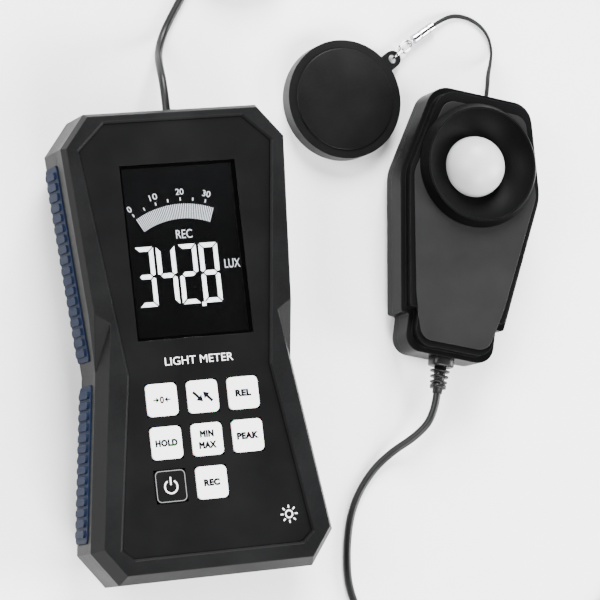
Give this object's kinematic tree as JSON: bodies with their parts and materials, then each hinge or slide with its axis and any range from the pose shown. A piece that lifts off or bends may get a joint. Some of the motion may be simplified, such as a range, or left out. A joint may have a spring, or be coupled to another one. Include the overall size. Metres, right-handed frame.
{
  "type": "handheld light meter",
  "caption": "Handheld light meter with waisted case, large display and square keys, corded to a flat sensor head with a white dome; a cap hangs on a lanyard.",
  "frame": {"origin": "middle of the meter's outline, on its back face, which lies on the surface", "axes": "+Z out of the meter's front, +Y towards the display end, +X to the right of the display"},
  "size_m": [0.2414, 0.288, 0.036],
  "materials": {
    "case_plastic": "fine satin texture",
    "grip_rubber": "dark blue soft-touch rubber",
    "label_film": "smooth satin film",
    "window_pane": "clear gloss over a black display",
    "lcd_cell": "polished glass",
    "white_plastic": "moulded white plastic",
    "contact_metal": "nickel plated",
    "circuit_board": "green solder mask",
    "cell_jacket": "printed cell jacket",
    "screw_steel": "zinc plated",
    "insert_brass": "turned brass",
    "cable_rubber": "satin black jacket",
    "head_plastic": "satin black plastic",
    "face_plate_film": "satin dark grey plate",
    "collar_plastic": "matte black plastic",
    "diffuser_plastic": "translucent white",
    "filter_glass": "polished colour filter",
    "cap_plastic": "fine matte texture",
    "chain_metal": "bright nickel",
    "lanyard_cloth": "braided cord",
    "tie_plastic": "plain black",
    "key_white": "satin white silicone",
    "power_key": "satin black silicone"
  },
  "bodies": {
    "root": {"front_shell": "case_plastic", "rear_shell": "case_plastic", "side_grip_upper_left": "grip_rubber", "side_grip_upper_right": "grip_rubber", "side_grip_lower_left": "grip_rubber", "side_grip_lower_right": "grip_rubber", "front_overlay": "label_film", "display_window": "window_pane", "lcd_glass": "lcd_cell", "lcd_holder": "white_plastic", "lcd_backlight": "white_plastic", "dome_switches": "contact_metal", "main_pcb": "circuit_board", "aaa_batteries": "cell_jacket", "battery_contacts": "contact_metal", "housing_screws": "screw_steel", "tripod_insert": "insert_brass", "cable_grommet": "cable_rubber", "sensor_front_shell": "head_plastic", "sensor_rear_shell": "head_plastic", "sensor_face_plate": "face_plate_film", "light_collar": "collar_plastic", "diffuser_dome": "diffuser_plastic", "colour_filter": "filter_glass", "photodiode": "contact_metal", "sensor_pcb": "circuit_board", "sensor_screws": "screw_steel", "sensor_tripod_insert": "insert_brass", "strain_relief": "cable_rubber", "lanyard_toggle": "collar_plastic", "lanyard_crimp": "chain_metal", "lanyard_cord": "lanyard_cloth", "cable_meter_side": "cable_rubber", "cable_coil": "cable_rubber", "cable_sensor_side": "cable_rubber", "coil_tie": "tie_plastic"},
    "key_zero": {"key_zero": "key_white"},
    "key_range": {"key_range": "key_white"},
    "key_rel": {"key_rel": "key_white"},
    "key_hold": {"key_hold": "key_white"},
    "key_min_max": {"key_min_max": "key_white"},
    "key_peak": {"key_peak": "key_white"},
    "key_power": {"key_power": "power_key"},
    "key_rec": {"key_rec": "key_white"},
    "battery_door": {"battery_door": "case_plastic"},
    "link_1": {"chain_link_1": "chain_metal"},
    "link_2": {"chain_link_2": "chain_metal"},
    "cap": {"sensor_cap": "cap_plastic"}
  },
  "joints": [
    {"name": "key_zero_press", "type": "slide", "parent": "root", "child": "key_zero", "axis": [0, 0, -1], "range_m": [0, 0.0006], "stiffness_N_per_m": 400},
    {"name": "key_range_press", "type": "slide", "parent": "root", "child": "key_range", "axis": [0, 0, -1], "range_m": [0, 0.0006], "stiffness_N_per_m": 400},
    {"name": "key_rel_press", "type": "slide", "parent": "root", "child": "key_rel", "axis": [0, 0, -1], "range_m": [0, 0.0006], "stiffness_N_per_m": 400},
    {"name": "key_hold_press", "type": "slide", "parent": "root", "child": "key_hold", "axis": [0, 0, -1], "range_m": [0, 0.0006], "stiffness_N_per_m": 400},
    {"name": "key_min_max_press", "type": "slide", "parent": "root", "child": "key_min_max", "axis": [0, 0, -1], "range_m": [0, 0.0006], "stiffness_N_per_m": 400},
    {"name": "key_peak_press", "type": "slide", "parent": "root", "child": "key_peak", "axis": [0, 0, -1], "range_m": [0, 0.0006], "stiffness_N_per_m": 400},
    {"name": "key_power_press", "type": "slide", "parent": "root", "child": "key_power", "axis": [0, 0, -1], "range_m": [0, 0.0006], "stiffness_N_per_m": 400},
    {"name": "key_rec_press", "type": "slide", "parent": "root", "child": "key_rec", "axis": [0, 0, -1], "range_m": [0, 0.0006], "stiffness_N_per_m": 400},
    {"name": "battery_door_slide", "type": "slide", "parent": "root", "child": "battery_door", "axis": [0, -1, 0], "range_m": [0, 0.058]},
    {"name": "link_1_swing", "type": "hinge", "parent": "root", "child": "link_1", "pos_m": [0.10453, 0.10379, 0.0021], "axis": [0, 0, 1], "range_deg": [-20, 2]},
    {"name": "link_2_swing", "type": "hinge", "parent": "link_1", "child": "link_2", "pos_m": [0.1031, 0.1027, 0.0021], "axis": [0, 0, 1], "range_deg": [-20, 2]},
    {"name": "cap_swing", "type": "hinge", "parent": "link_2", "child": "cap", "pos_m": [0.0981, 0.09886, 0.0021], "axis": [0, 0, 1], "range_deg": [-20, 3]}
  ]
}
